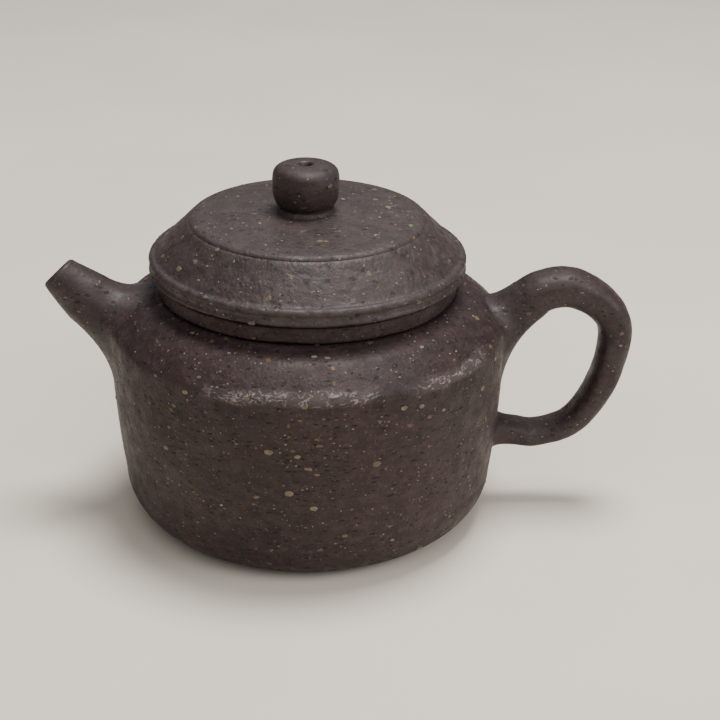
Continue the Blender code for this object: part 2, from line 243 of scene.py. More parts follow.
def turn_piece(name, outline, clay, segments, uneven=0.0, pitting=0.0, tearing=0.0, wavy=0.0):
    """Turn a (radius, height) outline into a closed clay piece."""
    piece = new_piece(name, [(radius, 0.0, height) for radius, height in outline])
    modifier = piece.modifiers.new("turned", "NODES")
    modifier.node_group = TURNED
    set_inputs(modifier, {"Segments": segments, "Unevenness": uneven, "Pitting": pitting,
                          "Tearing": tearing, "Waviness": wavy, "Clay": clay})
    keep_result(piece)
    piece.data.set_sharp_from_angle(angle=math.radians(60.0))
    print(name, "has", len(piece.data.polygons), "faces")
    return piece


# %% Helpers for outlines
FINE_STEPS = 24


def curve_through(points, steps):
    """A Catmull-Rom curve through rows of numbers, with that many steps between two rows."""
    rows = [Vector(point) for point in points]
    rows = [2.0 * rows[0] - rows[1]] + rows + [2.0 * rows[-1] - rows[-2]]
    curve = []
    for before, start, end, after in zip(rows, rows[1:], rows[2:], rows[3:]):
        for step in range(steps):
            t = step / steps
            curve.append(0.5 * (2.0 * start + (end - before) * t
                         + (2.0 * before - 5.0 * start + 4.0 * end - after) * t * t
                         + (3.0 * start - before - 3.0 * end + after) * t ** 3))
    return curve + [rows[-2]]


def soft(points, spacing):
    """A curve through the points, given back at an even spacing."""
    fine = curve_through(points, FINE_STEPS)
    lengths = [0.0]
    for start, end in zip(fine, fine[1:]):
        lengths.append(lengths[-1] + (end - start).length)
    steps = max(2, round(lengths[-1] / spacing))
    result, at = [], 0
    for step in range(steps + 1):
        goal = lengths[-1] * step / steps
        while at < len(fine) - 2 and lengths[at + 1] < goal:
            at += 1
        share = (goal - lengths[at]) / max(lengths[at + 1] - lengths[at], 1e-12)
        result.append(tuple(fine[at].lerp(fine[at + 1], min(share, 1.0))))
    return result


def arc(centre, radius, start, end, steps=10):
    """Points on an arc in the (radius, height) plane, angles in degrees."""
    turns = [math.radians(start + (end - start) * step / steps) for step in range(steps + 1)]
    return [(centre[0] + radius * math.cos(a), centre[1] + radius * math.sin(a)) for a in turns]


def from_mm(points):
    return [tuple(value * MM for value in point) for point in points]


# %% [markdown]
# ## The clay
# The body is a purple-brown clay mixed with coarser, unpurified grains. It is never one colour: there
# are pin-prick pinkish grains everywhere, larger tan ones here and there, and dark and red-brown flecks
# that the beating and wiping of the wall has drawn out sideways. Each kind of grain is one layer of a
# shader group, and one group mixes the layers, so every clay in the pot is cut from the same cloth.

# %% The grain layer group
def build_grain_layer():
    tree, take, give = start_tree("Grain layer", "ShaderNodeTree", [
        ("Place", "NodeSocketVector", None), ("Cell", "NodeSocketFloat", 0.001),
        ("Fill", "NodeSocketFloat", 0.3), ("Reach", "NodeSocketFloat", 0.3),
        ("Lie Flat", "NodeSocketFloat", 1.0),
    ], [("Mask", "NodeSocketFloat"), ("Pick", "NodeSocketFloat")])
    squash = node(tree, "ShaderNodeCombineXYZ", {0: 1.0, 1: 1.0, 2: take["Lie Flat"]}).outputs[0]
    scale = calc(tree, "DIVIDE", 1.0, take["Cell"])
    place = scaled(tree, vector_calc(tree, "MULTIPLY", take["Place"], squash), scale)
    ragged = node(tree, "ShaderNodeTexNoise", {"Vector": place, "Scale": 2.6, "Detail": 2.0})
    bend = scaled(tree, vector_calc(tree, "SUBTRACT", ragged.outputs["Color"], (0.5, 0.5, 0.5)), 0.6)
    cells = node(tree, "ShaderNodeTexVoronoi", {"Vector": vector_calc(tree, "ADD", place, bend),
                 "Scale": 1.0})
    colour = node(tree, "ShaderNodeSeparateColor", {0: cells.outputs["Color"]}).outputs
    reach = calc(tree, "MULTIPLY", take["Reach"], calc(tree, "MULTIPLY_ADD", colour[0], 0.6, 0.4))
    edge = calc(tree, "DIVIDE", cells.outputs["Distance"], reach)
    spot = remap(tree, edge, 0.72, 1.0, 1.0, 0.0)
    there = calc(tree, "LESS_THAN", colour[1], take["Fill"])
    tree.links.new(calc(tree, "MULTIPLY", spot, there), give["Mask"])
    tree.links.new(colour[2], give["Pick"])
    return tree


GRAINS = build_grain_layer()


def grains(tree, place, cell, fill, reach, lie_flat=1.0):
    made = node(tree, "ShaderNodeGroup", {}, node_tree=GRAINS)
    for name, value in (("Place", place), ("Cell", cell), ("Fill", fill), ("Reach", reach),
                        ("Lie Flat", lie_flat)):
        if isinstance(value, bpy.types.NodeSocket):
            tree.links.new(value, made.inputs[name])
        else:
            made.inputs[name].default_value = value
    return made.outputs


print("grain layer group:", len(GRAINS.nodes), "nodes")


# %% The clay surface group
def tint(tree, mask, under, over, strength=1.0):
    """Lay one colour over another by a mask."""
    amount = calc(tree, "MULTIPLY", mask, strength)
    made = node(tree, "ShaderNodeMix", {}, data_type="RGBA")
    for socket, value in ((made.inputs[0], amount), (made.inputs[6], under), (made.inputs[7], over)):
        if isinstance(value, bpy.types.NodeSocket):
            tree.links.new(value, socket)
        else:
            socket.default_value = value
    return made.outputs[2]


def build_clay_surface():
    colour = "NodeSocketColor"
    tree, take, give = start_tree("Clay surface", "ShaderNodeTree", [
        ("Place", "NodeSocketVector", None), ("Clay", colour, (0.05, 0.034, 0.03, 1.0)),
        ("Grain", "NodeSocketFloat", 1.0), ("Drawn", "NodeSocketFloat", 1.0),
        ("Grit", "NodeSocketFloat", 1.0), ("Torn Crest Highlight", "NodeSocketFloat", 0.0),
    ], [("Color", colour), ("Roughness", "NodeSocketFloat"), ("Height", "NodeSocketFloat")])
    place = take["Place"]
    light = node(tree, "ShaderNodeMix", {}, data_type="RGBA", blend_type="MULTIPLY")
    light.inputs[0].default_value = 1.0
    shade = remap(tree, fog(tree, place, 34.0, 3.0), 0.3, 0.7, 0.84, 1.16)
    mottle = remap(tree, fog(tree, place, 1150.0, 5.0), 0.28, 0.72, 0.80, 1.22)
    lying = vector_calc(tree, "MULTIPLY", place, (1.0, 1.0, 2.0))
    blotch = remap(tree, fog(tree, lying, 300.0, 4.0), 0.32, 0.68, 0.74, 1.22)
    grey = calc(tree, "MULTIPLY", calc(tree, "MULTIPLY", shade, mottle), blotch)
    tree.links.new(take["Clay"], light.inputs[6])
    tree.links.new(node(tree, "ShaderNodeCombineColor", {0: grey, 1: grey, 2: grey}).outputs[0],
                   light.inputs[7])
    warm = remap(tree, fog(tree, place, 95.0, 2.0), 0.52, 0.70)
    surface = tint(tree, warm, light.outputs[2], (0.046, 0.026, 0.020, 1.0), 0.22)
    amount = take["Grain"]
    red = grains(tree, place, 2.9 * MM, calc(tree, "MULTIPLY", amount, 0.50), 0.42, take["Drawn"])
    surface = tint(tree, red["Mask"], surface, (0.034, 0.0140, 0.0110, 1.0), 0.62)
    dark = grains(tree, place, 2.0 * MM, calc(tree, "MULTIPLY", amount, 0.60), 0.40, take["Drawn"])
    surface = tint(tree, dark["Mask"], surface, (0.0075, 0.0048, 0.0044, 1.0), 0.84)
    pepper = grains(tree, place, 0.55 * MM, calc(tree, "MULTIPLY", amount, 0.30), 0.40)
    surface = tint(tree, pepper["Mask"], surface, (0.110, 0.084, 0.076, 1.0), 0.42)
    tan = grains(tree, place, 2.6 * MM, calc(tree, "MULTIPLY", amount, 0.20), 0.32, 1.7)
    tan_colour = tint(tree, tan["Pick"], (0.165, 0.118, 0.066, 1.0), (0.100, 0.058, 0.034, 1.0))
    surface = tint(tree, tan["Mask"], surface, tan_colour, 0.78)
    fine = grains(tree, place, 1.15 * MM, calc(tree, "MULTIPLY", amount, 0.26), 0.25, 1.4)
    surface = tint(tree, fine["Mask"], surface, (0.215, 0.172, 0.152, 1.0), 0.80)
    # Painted highlight: the torn crest is laid in a pale colour, partly the torn clay and partly a
    # highlight.
    surface = tint(tree, take["Torn Crest Highlight"], surface, (0.290, 0.250, 0.238, 1.0), 0.88)
    tree.links.new(surface, give["Color"])
    sheen = remap(tree, fog(tree, place, 300.0, 4.0), 0.3, 0.7, 0.47, 0.64)
    tree.links.new(calc(tree, "ADD", sheen, calc(tree, "MULTIPLY", dark["Mask"], 0.12)),
                   give["Roughness"])
    skin = calc(tree, "MULTIPLY", fog(tree, place, 1500.0, 4.0), take["Grit"])
    worn = calc(tree, "MULTIPLY", fog(tree, place, 380.0, 2.0), calc(tree, "MULTIPLY", take["Grit"], 0.7))
    pits = calc(tree, "MULTIPLY", dark["Mask"], -0.35)
    proud = calc(tree, "MULTIPLY", calc(tree, "ADD", fine["Mask"], tan["Mask"]), 0.30)
    height = calc(tree, "ADD", calc(tree, "ADD", skin, worn), calc(tree, "ADD", pits, proud))
    tree.links.new(height, give["Height"])
    return tree


CLAY_SURFACE = build_clay_surface()
print("clay surface group:", len(CLAY_SURFACE.nodes), "nodes")


# %% The torn crest group, which places the crest's pale colour, partly a painted highlight
def build_torn_crest_highlight_group():
    tree, take, give = start_tree("Crest tear and highlight", "ShaderNodeTree",
                                  [("Place", "NodeSocketVector", None)], [("Mask", "NodeSocketFloat")])
    tree.links.new(torn_crest_and_highlight_mask(tree, take["Place"]), give["Mask"])
    return tree


TORN_CREST_HIGHLIGHT = build_torn_crest_highlight_group()


# %% Clays of the pot
def make_clay(name, colour, grain, drawn, grit, sheen, torn=False):
    """A fired clay: the surface group feeds colour, roughness and height of one shader."""
    material = bpy.data.materials.new(name)
    material.use_nodes = True
    tree = material.node_tree
    shader = tree.nodes["Principled BSDF"]
    shader.inputs["Specular IOR Level"].default_value = sheen
    place = node(tree, "ShaderNodeTexCoord", {}).outputs["Object"]
    surface = node(tree, "ShaderNodeGroup", {}, node_tree=CLAY_SURFACE)
    tree.links.new(place, surface.inputs["Place"])
    for key, value in (("Clay", (*colour, 1.0)), ("Grain", grain), ("Drawn", drawn), ("Grit", grit)):
        surface.inputs[key].default_value = value
    # torn lays the torn crest's pale colour, which is partly a painted highlight.
    if torn:
        crest = node(tree, "ShaderNodeGroup", {}, node_tree=TORN_CREST_HIGHLIGHT)
        tree.links.new(place, crest.inputs["Place"])
        tree.links.new(crest.outputs["Mask"], surface.inputs["Torn Crest Highlight"])
    tree.links.new(surface.outputs["Color"], shader.inputs["Base Color"])
    tree.links.new(surface.outputs["Roughness"], shader.inputs["Roughness"])
    bump = node(tree, "ShaderNodeBump", {"Strength": 1.0, "Distance": 0.10 * MM})
    tree.links.new(surface.outputs["Height"], bump.inputs["Height"])
    tree.links.new(bump.outputs["Normal"], shader.inputs["Normal"])
    return material


# The drum clay carries the torn crest's pale colour, partly a painted highlight.
DRUM_CLAY = make_clay("drum clay, drawn flecks, torn crest highlight", (0.0290, 0.0172, 0.0176), 1.0, 2.6, 1.2, 0.27, True)
# The lid's clay is the body's clay in a lighter tone, which is painted light from above on the lid; its
# rounder grains are its own.
LID_CLAY_PAINTED_LIGHTER = make_clay("lid clay, round grains, painted lighter", (0.0318, 0.0210, 0.0205), 0.90, 1.3, 1.6, 0.46)
LIMB_CLAY = make_clay("wiped limb clay", (0.0290, 0.0175, 0.0178), 0.85, 1.8, 0.8, 0.40)
INSIDE_CLAY = make_clay("unwiped inner clay", (0.0400, 0.0270, 0.0230), 0.7, 1.4, 1.3, 0.30)
print("clays:", DRUM_CLAY.name, "|", LID_CLAY_PAINTED_LIGHTER.name, "|", LIMB_CLAY.name, "|", INSIDE_CLAY.name)


# %% [markdown]
# ## The drum: floor and wall
# A potter beats a sheet of clay flat, closes it into a drum and sets it on a disc. The wall swells a
# little at its middle and is beaten round at the foot. Its radius and height are read from the model,
# and the foot's arc is shared by the floor and the wall, so the joint between them does not show.

# %% Sizes read from the model
wall_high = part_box("body_wall")[1]
DRUM_RADIUS = wall_high[0]
WALL_TOP = wall_high[2]
BELLY_HEIGHT = 42.0 * MM
FOOT_DRAW_IN = 2.2 * MM
FOOT_ROUNDING = 11.5 * MM
WALL_THICKNESS = 3.1 * MM
floor_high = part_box("base_disc")[1]
FLOOR_RADIUS = floor_high[0]
STANDING_RADIUS = DRUM_RADIUS - FOOT_DRAW_IN - FOOT_ROUNDING
print("drum radius", round(DRUM_RADIUS / MM, 2), "mm, wall top", round(WALL_TOP / MM, 2), "mm")


def wall_radius(height):
    drop = (BELLY_HEIGHT - height) / (BELLY_HEIGHT - FOOT_ROUNDING)
    return DRUM_RADIUS - FOOT_DRAW_IN * drop * drop


def foot_arc(start_radius, end_radius, steps=16):
    """The foot's rounding between two radii, from the inner to the outer."""
    start = -math.degrees(math.acos((start_radius - STANDING_RADIUS) / FOOT_ROUNDING))
    end = -math.degrees(math.acos(min(1.0, (end_radius - STANDING_RADIUS) / FOOT_ROUNDING)))
    return arc((STANDING_RADIUS, FOOT_ROUNDING), FOOT_ROUNDING, start, end, steps)


# %% Floor and wall
HAND = 0.32 * MM
floor_line = soft([(0.0, 0.0), (STANDING_RADIUS / 2.0, 0.0), (STANDING_RADIUS, 0.0)], 1.4 * MM)
floor_line += foot_arc(STANDING_RADIUS, FLOOR_RADIUS)[1:]
floor_line += [(FLOOR_RADIUS, floor_high[2])] + soft(
    [(FLOOR_RADIUS - 0.5 * MM, floor_high[2]), (FLOOR_RADIUS / 2.0, floor_high[2]), (0.0, floor_high[2])],
    2.0 * MM)
floor_piece = turn_piece("floor", floor_line, DRUM_CLAY, 256)

levels = [FOOT_ROUNDING + (WALL_TOP - FOOT_ROUNDING) * step / 56.0 for step in range(57)]
wall_line = foot_arc(FLOOR_RADIUS, DRUM_RADIUS - FOOT_DRAW_IN, 20)
wall_line += [(wall_radius(level), level) for level in levels[1:]]
wall_line += [(wall_radius(level) - WALL_THICKNESS, level) for level in levels[::-4]]
wall_line += from_mm([(38.3, 9.0), (37.2, 6.8), (36.0, 5.2), (34.6, 3.9), (33.4, 3.5)])
wall_line += [wall_line[0]]
wall_piece = turn_piece("wall", wall_line, DRUM_CLAY, 512, uneven=HAND, tearing=0.36 * MM)


# %% [markdown]
# ## Shoulder, neck and mouth ring
# The shoulder is a second disc, laid on the wall and pressed over its edge. Where the two sheets meet
# the clay tears into a rough crest, painted pale partly as a highlight. A short neck stands on it, with a
# ring wound round the neck.

# %% Shoulder
MOUTH_BORE = 28.4 * MM
SHOULDER_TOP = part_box("shoulder_disc")[1][2]
slope = [(wall_radius(WALL_TOP), WALL_TOP)] + from_mm([
    (43.84, 45.8), (43.4, 46.7), (42.6, 47.6), (41.4, 48.75), (40.0, 49.95), (38.6, 51.0),
    (37.4, 51.7), (36.0, 52.1), (34.6, 52.45)])
shoulder_line = soft(slope + [(33.2 * MM, SHOULDER_TOP)], 0.36 * MM)
shoulder_line += soft([(32.6 * MM, SHOULDER_TOP), (MOUTH_BORE, SHOULDER_TOP)], 1.0 * MM)
shoulder_line += soft([(MOUTH_BORE, 49.8 * MM), (36.0 * MM, 49.4 * MM), (38.6 * MM, 47.8 * MM),
                       (wall_radius(WALL_TOP) - WALL_THICKNESS, WALL_TOP)], 1.0 * MM)
shoulder_line += [shoulder_line[0]]
shoulder_piece = turn_piece("shoulder", shoulder_line, DRUM_CLAY, 512, uneven=HAND,
                            tearing=0.36 * MM)

# %% Neck and mouth ring
neck_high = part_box("neck_ring")[1]
NECK_RADIUS, NECK_TOP = neck_high[0], neck_high[2]
neck_line = [(NECK_RADIUS, SHOULDER_TOP - 0.3 * MM)]
neck_line += soft([(NECK_RADIUS, SHOULDER_TOP), (NECK_RADIUS, NECK_TOP - 0.3 * MM)], 0.8 * MM)
neck_line += arc((NECK_RADIUS - 0.3 * MM, NECK_TOP - 0.3 * MM), 0.3 * MM, 0.0, 90.0, 4)
neck_line += arc((MOUTH_BORE + 0.4 * MM, NECK_TOP - 0.4 * MM), 0.4 * MM, 90.0, 180.0, 4)
neck_line += [(MOUTH_BORE, SHOULDER_TOP), (MOUTH_BORE, SHOULDER_TOP - 0.3 * MM), neck_line[0]]
neck_piece = turn_piece("neck", neck_line, DRUM_CLAY, 384)

ring_low, ring_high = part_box("mouth_ring")
RING_RADIUS, RING_TOP, RING_BOTTOM = ring_high[0], ring_high[2], ring_low[2]
SOFT_EDGE = 0.65 * MM
ring_line = [(NECK_RADIUS - 0.3 * MM, RING_BOTTOM - 0.1 * MM),
             (RING_RADIUS - 1.1 * MM, RING_BOTTOM - 0.1 * MM)]
ring_line += arc((RING_RADIUS - SOFT_EDGE, RING_BOTTOM + SOFT_EDGE), SOFT_EDGE, -90.0, 0.0, 6)
ring_line += arc((RING_RADIUS - SOFT_EDGE, RING_TOP - SOFT_EDGE), SOFT_EDGE, 0.0, 90.0, 6)
ring_line += [(NECK_RADIUS - 0.3 * MM, RING_TOP), ring_line[0]]
mouth_ring_piece = turn_piece("ring_of_mouth", ring_line, DRUM_CLAY, 448,
                              uneven=0.16 * MM, wavy=0.9 * MM)


# %% [markdown]
# ## Lid and knob
# The lid is a bevelled ring with a disc let into it. The cone of the ring is coarser than the disc: the
# tool that trimmed it dragged grains out and left pits. Below it a plain collar drops into the neck. The
# collar stays truly round and the lid's seat stays level, because the lid turns on them.

# %% Lid ring
lid_low, lid_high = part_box("lid_ring")
LID_RADIUS, LID_SEAT, LID_CREASE = lid_high[0], lid_low[2], lid_high[2]
DISC_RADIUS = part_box("lid_disc")[1][0]
LIP, COLLAR_BORE = 0.8 * MM, 25.3 * MM
lid_line = arc((LID_RADIUS - LIP, LID_SEAT + LIP), LIP, -90.0, 0.0, 8)
lid_line += soft([(LID_RADIUS, LID_SEAT + LIP)] + from_mm([
    (34.50, 59.4), (34.50, 60.2), (34.85, 60.8), (34.75, 61.4), (34.2, 61.85), (33.4, 61.95),
    (32.4, 62.85), (30.6, 64.9), (28.4, 67.0), (26.6, 68.85)])
    + [(DISC_RADIUS - 0.2 * MM, LID_CREASE)], 0.36 * MM)[1:]
lid_line += from_mm([(24.0, 68.6), (22.0, 66.9), (22.0, 66.6)])
lid_line += soft(from_mm([(22.0, 66.5), (23.4, 64.0), (24.8, 60.8), (25.3, 58.0)]), 1.2 * MM)
lid_line += soft([(25.6 * MM, LID_SEAT), (30.0 * MM, LID_SEAT), (LID_RADIUS - LIP, LID_SEAT)], 1.6 * MM)
lid_ring_piece = turn_piece("lid_cone", lid_line, LID_CLAY_PAINTED_LIGHTER, 448, uneven=0.26 * MM, pitting=0.20 * MM)

# %% Lid disc
disc_low, disc_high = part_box("lid_disc")
VENT = 1.1 * MM
CROWN, DISC_EDGE = disc_high[2], 70.0 * MM


def crown(radius):
    return CROWN - (CROWN - DISC_EDGE) * (radius / DISC_RADIUS) ** 2


radii = [VENT + (DISC_RADIUS - 1.7 * MM - VENT) * step / 45.0 for step in range(46)]
disc_line = [(radius, crown(radius)) for radius in radii]
disc_line += soft([(DISC_RADIUS - 1.5 * MM, crown(DISC_RADIUS - 1.5 * MM)),
                   (DISC_RADIUS - 0.7 * MM, DISC_EDGE - 0.04 * MM),
                   (DISC_RADIUS - 0.15 * MM, DISC_EDGE - 0.32 * MM),
                   (DISC_RADIUS + 0.15 * MM, DISC_EDGE - 0.75 * MM),
                   (DISC_RADIUS + 0.1 * MM, LID_CREASE - 0.5 * MM)], 0.2 * MM)
disc_line += [(DISC_RADIUS, disc_low[2]), (DISC_RADIUS / 2.0, disc_low[2]),
              (VENT, disc_low[2] + 0.6 * MM)]
disc_line += [disc_line[0]]
disc_piece = turn_piece("lid_top", disc_line, LID_CLAY_PAINTED_LIGHTER, 384, uneven=0.14 * MM)

# %% Collar
collar_low, collar_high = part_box("lid_collar")
COLLAR, COLLAR_FOOT = collar_high[0], collar_low[2]
collar_line = [(COLLAR, LID_SEAT + 0.05 * MM)]
collar_line += arc((COLLAR - 0.6 * MM, COLLAR_FOOT + 0.6 * MM), 0.6 * MM, 0.0, -90.0, 6)
collar_line += arc((COLLAR_BORE + 0.6 * MM, COLLAR_FOOT + 0.6 * MM), 0.6 * MM, -90.0, -180.0, 6)
collar_line += [(COLLAR_BORE, LID_SEAT + 0.05 * MM), collar_line[0]]
collar_piece = turn_piece("collar", collar_line, INSIDE_CLAY, 256)

# %% Knob and its seat
seat_low, seat_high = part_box("knob_seat")
knob_low, knob_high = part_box("knob")
KNOB_TOP, KNOB_FOOT = knob_high[2], knob_low[2]
seat_line = [(VENT, seat_low[2] - 0.2 * MM), (seat_high[0] + 0.2 * MM, crown(seat_high[0]) - 0.25 * MM)]
seat_line += soft([(seat_high[0], crown(seat_high[0]) + 0.2 * MM),
                   (seat_high[0] - 0.35 * MM, seat_high[2] - 0.1 * MM),
                   (seat_high[0] - 0.9 * MM, seat_high[2])], 0.2 * MM)
seat_line += [(VENT, seat_high[2]), seat_line[0]]
seat_piece = turn_piece("knob_bed", seat_line, LID_CLAY_PAINTED_LIGHTER, 160)
knob_line = [(VENT, KNOB_FOOT - 0.3 * MM), (5.6 * MM, KNOB_FOOT - 0.3 * MM)]
knob_line += soft([(5.6 * MM, KNOB_FOOT), (6.35 * MM, KNOB_FOOT + 0.5 * MM), (7.0 * MM, 74.4 * MM),
                   (7.3 * MM, 76.8 * MM), (7.25 * MM, 79.0 * MM), (6.75 * MM, 80.5 * MM),
                   (5.2 * MM, 81.4 * MM), (2.4 * MM, KNOB_TOP), (1.5 * MM, 81.45 * MM),
                   (VENT, 80.6 * MM)], 0.24 * MM)
knob_line += [(VENT, 77.0 * MM), knob_line[0]]
knob_piece = turn_piece("vented_knob", knob_line, LIMB_CLAY, 176, uneven=0.10 * MM)
OFF_AXIS = Matrix.Translation((-0.5 * MM, 0.0, 0.0))
for piece in (seat_piece, knob_piece):
    piece.data.transform(OFF_AXIS)


# %% [markdown]
# ## Spout and handle
# Both limbs are rolled by hand and stuck to the drum with slip, which is smoothed into a fillet. A limb
# is a row of cross-sections skinned together; at the root each point runs on a curve that starts along
# the limb and ends along the pot's own surface, found by casting a ray at it, so the joint flows.

# %% The pot's surface, for the limbs to meet
def surface_of(*pieces):
    points, faces = [], []
    for piece in pieces:
        base = len(points)
        points += [vertex.co.copy() for vertex in piece.data.vertices]
        faces += [[base + corner for corner in face.vertices] for face in piece.data.polygons]
    return BVHTree.FromPolygons(points, faces)


POT_SURFACE = surface_of(wall_piece, shoulder_piece)


# %% Helpers for limbs
ROUND = 2.0
SKIN_DEPTH_MM, BURIED_DEPTH_MM = 0.10, 1.2


def limb_rings(stations, steps, squareness, count, unevenness):
    """Cross-sections along a line in the XZ plane, each with its centre and its direction.

    A station is a row of x, z, thickness and width in mm, and steps is the number of sections
    from one station to the next.
    """
    path = curve_through(stations, steps)
    rings = []
    for at, row in enumerate(path):
        ahead, behind = path[min(at + 1, len(path) - 1)], path[max(at - 1, 0)]
        run = Vector((ahead[0] - behind[0], 0.0, ahead[1] - behind[1])).normalized()
        side = Vector((-run[2], 0.0, run[0]))
        centre = Vector((row[0], 0.0, row[1])) * MM
        ring = []
        for step in range(count):
            turn = 2.0 * math.pi * step / count
            c, s = math.cos(turn), math.sin(turn)
            across = math.copysign(abs(c) ** (2.0 / squareness), c) * row[2] / 2.0 * MM
            along = math.copysign(abs(s) ** (2.0 / squareness), s) * row[3] / 2.0 * MM
            point = centre + side * across + Vector((0.0, along, 0.0))
            out = (point - centre).normalized()
            point += out * unevenness * (noise.noise(point * 110.0) + 0.35 * noise.noise(point * 420.0))
            ring.append(point)
        rings.append((ring, centre, run))
    return rings


def root_rings(ring, centre, towards, fillet, steps=9):
    """Carry a ring on to the pot's surface.

    fillet takes how far a point faces up, from -1 to 1. It gives the fillet's width and how far it
    fills the corner, from 0 (close to it) to 1 (straight across).
    """
    side = Vector((-towards[2], 0.0, towards[0]))
    if side[2] < 0.0:
        side = -side
    runs = []
    for point in ring:
        hit, normal, _, _ = POT_SURFACE.ray_cast(point - towards * MM, towards)
        out = (point - centre).normalized()
        flat = (out - normal * out.dot(normal)).normalized()
        width, fullness = fillet(out.dot(side))
        rest, rest_normal, _, _ = POT_SURFACE.find_nearest(hit + flat * width)
        end = rest - rest_normal * SKIN_DEPTH_MM * MM
        corner = hit.lerp((point + end) / 2.0, fullness)
        run = []
        for step in range(1, steps + 1):
            t = step / steps
            run.append(point * (1.0 - t) ** 2 + corner * 2.0 * t * (1.0 - t) + end * t * t)
        run.append(rest - rest_normal * BURIED_DEPTH_MM * MM)
        runs.append(run)
    return [[run[step] for run in runs] for step in range(steps + 1)]


def skin(name, rings, clay, closed=False):
    """Join rings of equal counts. closed joins the last to the first, otherwise the ends are capped."""
    vertices = [tuple(point) for ring in rings for point in ring]
    count, faces = len(rings[0]), []
    pairs = [(at, at + 1) for at in range(len(rings) - 1)]
    if closed:
        pairs.append((len(rings) - 1, 0))
    for at, nxt in pairs:
        for step in range(count):
            after = (step + 1) % count
            faces.append((at * count + step, at * count + after, nxt * count + after, nxt * count + step))
    if not closed:
        for at in (0, len(rings) - 1):
            middle = sum((Vector(point) for point in rings[at]), Vector()) / count
            vertices.append(tuple(middle))
            for step in range(count):
                faces.append((at * count + step, at * count + (step + 1) % count, len(vertices) - 1))
    piece = new_piece(name, vertices, faces)
    work = bmesh.new()
    work.from_mesh(piece.data)
    bmesh.ops.recalc_face_normals(work, faces=work.faces)
    work.to_mesh(piece.data)
    work.free()
    piece.data.shade_smooth()
    piece.data.materials.append(clay)
    print(name, "has", len(piece.data.polygons), "faces")
    return piece


# %% Spout
SPOUT_LINE = ((-54.6, 56.05, 8.6, 8.6), (-53.2, 54.6, 9.6, 9.6), (-51.0, 52.5, 11.0, 11.0),
              (-49.0, 50.7, 12.1, 12.1))
BORE_LINE = ((-54.6, 56.05, 4.5, 4.5), (-49.5, 51.1, 7.0, 7.0), (-44.4, 46.9, 8.2, 8.2),
             (-40.4, 43.9, 8.6, 8.6))
SPOUT_COUNT = 72
LIP_STEPS, LIP_BULGE_MM = 8, 0.95
TIP_TURN, TIP_REACH = 0.16, 9.0 * MM
outer = limb_rings(SPOUT_LINE, 8, ROUND, SPOUT_COUNT, 0.12 * MM)
inner = limb_rings(BORE_LINE, 5, ROUND, SPOUT_COUNT, 0.0)
tip_ring, tip_centre, tip_run = outer[0]
for ring, centre, run in outer + inner:
    share = max(0.0, 1.0 - (centre - tip_centre).length / TIP_REACH)
    for point in ring:
        point += run * point.y * TIP_TURN * share
tip_inner = inner[0][0]
lip = []
for step in range(1, LIP_STEPS):
    turn = math.pi * step / LIP_STEPS
    share = 0.5 - 0.5 * math.cos(turn)
    bulge = -tip_run * LIP_BULGE_MM * MM * math.sin(turn)
    lip.append([a.lerp(b, share) + bulge for a, b in zip(tip_ring, tip_inner)])
last_ring, last_centre, last_run = outer[-1]


def spout_fillet(facing):
    return 7.9 * MM, (0.24 if facing > 0.0 else 0.08) * abs(facing)


spout_root = root_rings(last_ring, last_centre, last_run, spout_fillet)
rings = [ring for ring, _, _ in inner[::-1]] + lip[::-1] + [ring for ring, _, _ in outer] + spout_root
spout_piece = skin("rolled_spout", rings, LIMB_CLAY, closed=True)

# %% Bore through the wall and the shoulder
bore_rows = ((-47.0, 49.2, 8.0, 8.0), (-44.4, 46.9, 8.4, 8.4), (-40.4, 43.9, 8.8, 8.8),
             (-36.4, 40.9, 8.8, 8.8))
bore_path = limb_rings(bore_rows, 3, ROUND, 48, 0.0)
bore_tool = skin("bore_tool", [ring for ring, _, _ in bore_path], LIMB_CLAY)
for piece in (wall_piece, shoulder_piece):
    cut = piece.modifiers.new("bore", "BOOLEAN")
    cut.object = bore_tool
    cut.operation = "DIFFERENCE"
    cut.solver = "EXACT"
    keep_result(piece, tidy=False)
    print(piece.name, "after the bore:", len(piece.data.polygons), "faces")
bpy.data.objects.remove(bore_tool, do_unlink=True)

# %% Handle
HANDLE_LINE = ((48.8, 49.6, 9.6, 10.5), (52.4, 52.2, 8.8, 10.3), (58.4, 53.0, 8.2, 10.0),
               (64.8, 50.0, 7.9, 9.8), (68.8, 44.6, 7.6, 9.6), (68.7, 36.4, 6.9, 9.3),
               (65.6, 26.8, 6.2, 9.0), (60.0, 19.6, 5.6, 8.7), (52.6, 17.0, 5.3, 8.4),
               (47.6, 17.4, 5.7, 8.7))
HANDLE_SQUARENESS = 2.6
handle = limb_rings(HANDLE_LINE, 14, HANDLE_SQUARENESS, 72, 0.24 * MM)
top_ring, top_centre, top_run = handle[0]
low_ring, low_centre, low_run = handle[-1]


def top_fillet(facing):
    return (4.2 - (6.0 if facing < 0.0 else 2.2) * facing) * MM, 0.26 * max(0.0, -facing)


def low_fillet(facing):
    return 1.9 * MM, 0.0


top_root = root_rings(top_ring, top_centre, -top_run, top_fillet)
low_root = root_rings(low_ring, low_centre, low_run, low_fillet)
handle_piece = skin("ear_handle", top_root[::-1] + [ring for ring, _, _ in handle] + low_root, LIMB_CLAY)


# %% [markdown]
# ## Grains that stand in the surface
# The larger pale grains are chips, not paint: they break the surface a little and catch the light. A
# node tree scatters flattened, broken chips over a piece and sinks them so that only a skin shows.

# %% The scattered grain tree
CHIP_FACES, CHIP_SHAPE = 20, (1.0, 0.66, 0.22)
CHIP_SINK, CHIP_RAGGEDNESS = 0.03 * MM, 0.42 * MM


